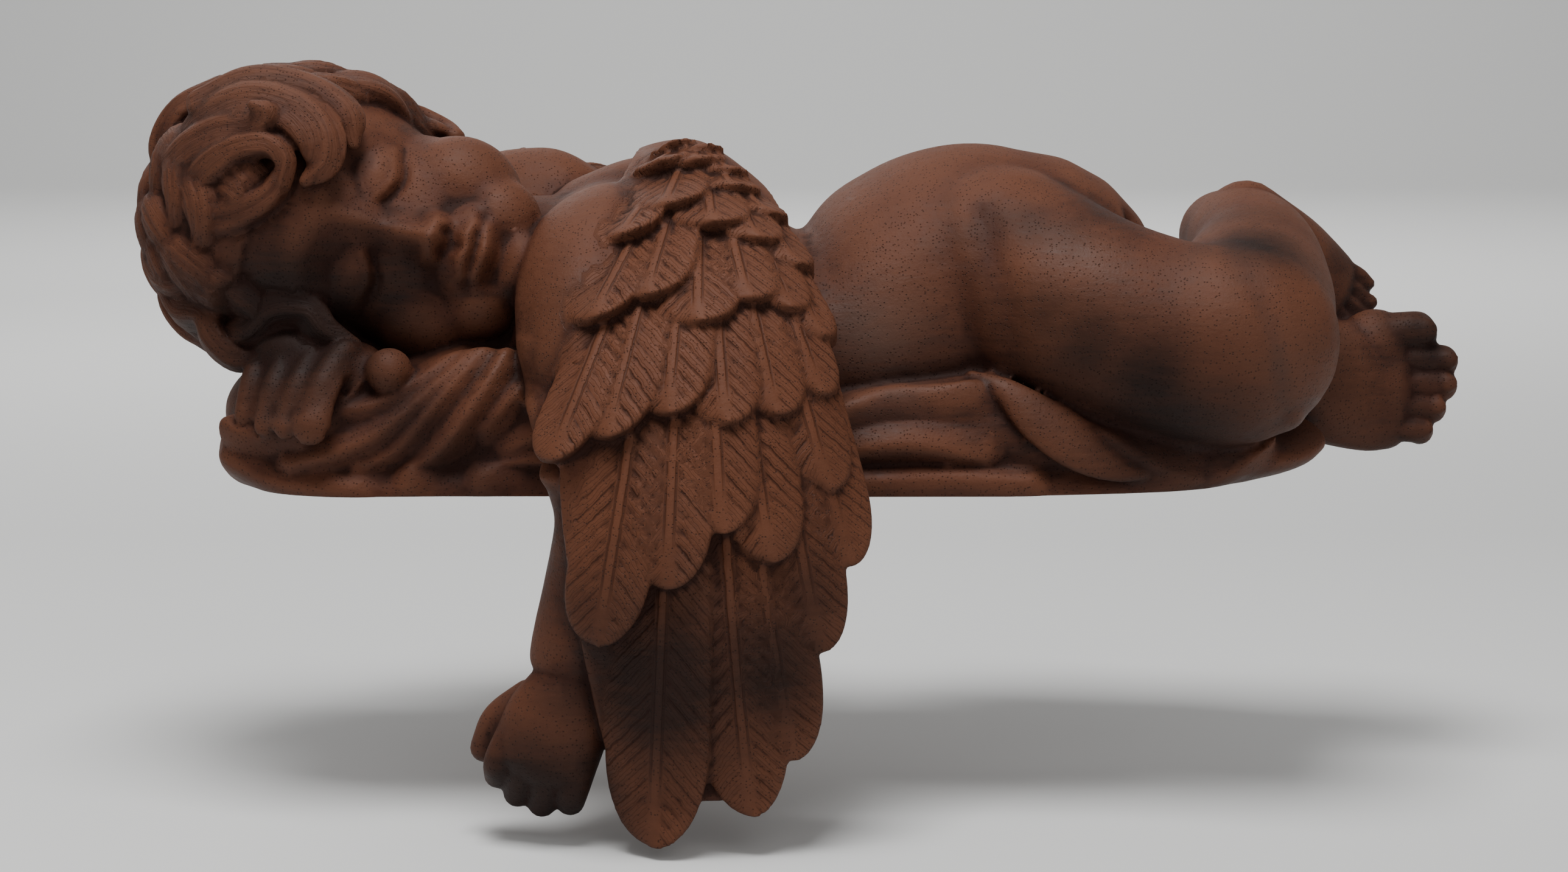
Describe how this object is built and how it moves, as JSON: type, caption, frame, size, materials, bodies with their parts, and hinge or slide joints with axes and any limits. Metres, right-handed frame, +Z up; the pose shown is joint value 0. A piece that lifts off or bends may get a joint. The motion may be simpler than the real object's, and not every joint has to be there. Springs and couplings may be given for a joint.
{
  "type": "shelf angel figure",
  "caption": "Sleeping cherub cast in stone, lying on a folded cloth, with one arm and one wing hanging over the edge of the shelf or mantel that it rests on.",
  "frame": {"origin": "on the flat underside, where it rests on the shelf, midway along the belly", "axes": "+X towards the feet, with the head at -X; -Y over the shelf's front edge, where the arm and the wing hang; +Z up from the shelf"},
  "size_m": [0.3584, 0.177, 0.1898],
  "materials": {
    "rust_stone": "matt cast stone with a rust-brown patina, rubbed grey-black on the high places"
  },
  "bodies": {
    "root": {"angel_figure": "rust_stone"}
  },
  "joints": []
}
